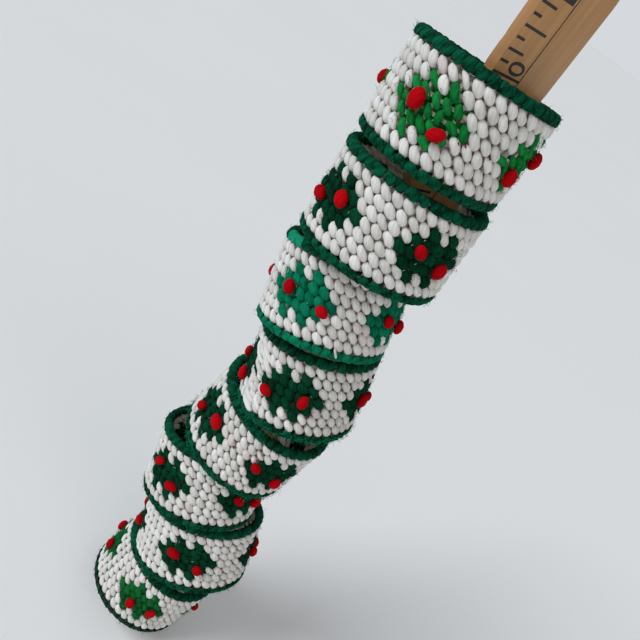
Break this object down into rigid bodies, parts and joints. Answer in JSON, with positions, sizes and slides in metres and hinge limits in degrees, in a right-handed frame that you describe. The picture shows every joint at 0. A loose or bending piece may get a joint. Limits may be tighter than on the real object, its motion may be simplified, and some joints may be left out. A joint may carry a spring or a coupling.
{
  "type": "stack of needlepoint napkin rings on a ruler",
  "caption": "Holly-patterned needlepoint napkin rings, each loose and leaning, threaded on a flat wooden inch ruler that carries them as a stack.",
  "frame": {"origin": "centre of the ruler's foot, the end that is inside the lowest ring", "axes": "+Z along the ruler towards its free end, +X across its width, and the marked face looks along -Y"},
  "size_m": [0.0656, 0.07, 0.3346],
  "materials": {
    "clear_canvas": "clear, lightly frosted moulded mesh",
    "white_yarn": "soft plied yarn, tent stitch",
    "red_yarn": "soft plied yarn, wrapped knots",
    "edge_green_yarn": "soft plied yarn, whipped over an edge",
    "dark_green_yarn": "soft plied yarn, tent stitch",
    "bright_green_yarn": "thin plied yarn, tent stitch",
    "emerald_yarn": "soft plied yarn, tent stitch",
    "ruler_wood": "clear-varnished light hardwood with printed black scale"
  },
  "bodies": {
    "ruler": {"ruler": "ruler_wood"},
    "ring_1": {"canvas_1": "clear_canvas", "ground_yarn_1": "white_yarn", "holly_yarn_1": "bright_green_yarn", "berry_yarn_1": "red_yarn", "upper_edge_yarn_1": "edge_green_yarn", "lower_edge_yarn_1": "edge_green_yarn"},
    "ring_2": {"canvas_2": "clear_canvas", "ground_yarn_2": "white_yarn", "holly_yarn_2": "dark_green_yarn", "berry_yarn_2": "red_yarn", "upper_edge_yarn_2": "edge_green_yarn", "lower_edge_yarn_2": "edge_green_yarn"},
    "ring_3": {"canvas_3": "clear_canvas", "ground_yarn_3": "white_yarn", "holly_yarn_3": "emerald_yarn", "berry_yarn_3": "red_yarn", "upper_edge_yarn_3": "edge_green_yarn", "lower_edge_yarn_3": "emerald_yarn"},
    "ring_4": {"canvas_4": "clear_canvas", "ground_yarn_4": "white_yarn", "holly_yarn_4": "dark_green_yarn", "berry_yarn_4": "red_yarn", "upper_edge_yarn_4": "edge_green_yarn", "lower_edge_yarn_4": "edge_green_yarn"},
    "ring_5": {"canvas_5": "clear_canvas", "ground_yarn_5": "white_yarn", "holly_yarn_5": "dark_green_yarn", "berry_yarn_5": "red_yarn", "upper_edge_yarn_5": "edge_green_yarn", "lower_edge_yarn_5": "edge_green_yarn"},
    "ring_6": {"canvas_6": "clear_canvas", "ground_yarn_6": "white_yarn", "holly_yarn_6": "dark_green_yarn", "berry_yarn_6": "red_yarn", "upper_edge_yarn_6": "edge_green_yarn", "lower_edge_yarn_6": "edge_green_yarn"},
    "ring_7": {"canvas_7": "clear_canvas", "ground_yarn_7": "white_yarn", "holly_yarn_7": "dark_green_yarn", "berry_yarn_7": "red_yarn", "upper_edge_yarn_7": "edge_green_yarn", "lower_edge_yarn_7": "edge_green_yarn"},
    "ring_8": {"canvas_8": "clear_canvas", "ground_yarn_8": "white_yarn", "holly_yarn_8": "dark_green_yarn", "berry_yarn_8": "red_yarn", "upper_edge_yarn_8": "edge_green_yarn", "lower_edge_yarn_8": "edge_green_yarn"}
  },
  "joints": [
    {"name": "ring_8_slide", "type": "slide", "parent": "ruler", "child": "ring_8", "axis": [0, 0, 1], "range_m": [0, 0.006]},
    {"name": "ring_7_slide", "type": "slide", "parent": "ring_8", "child": "ring_7", "axis": [0, 0, 1], "range_m": [0, 0.006]},
    {"name": "ring_6_slide", "type": "slide", "parent": "ring_7", "child": "ring_6", "axis": [0, 0, 1], "range_m": [0, 0.006]},
    {"name": "ring_5_slide", "type": "slide", "parent": "ring_6", "child": "ring_5", "axis": [0, 0, 1], "range_m": [0, 0.006]},
    {"name": "ring_4_slide", "type": "slide", "parent": "ring_5", "child": "ring_4", "axis": [0, 0, 1], "range_m": [0, 0.006]},
    {"name": "ring_3_slide", "type": "slide", "parent": "ring_4", "child": "ring_3", "axis": [0, 0, 1], "range_m": [0, 0.006]},
    {"name": "ring_2_slide", "type": "slide", "parent": "ring_3", "child": "ring_2", "axis": [0, 0, 1], "range_m": [0, 0.006]},
    {"name": "ring_1_slide", "type": "slide", "parent": "ring_2", "child": "ring_1", "axis": [0, 0, 1], "range_m": [0, 0.09]}
  ]
}
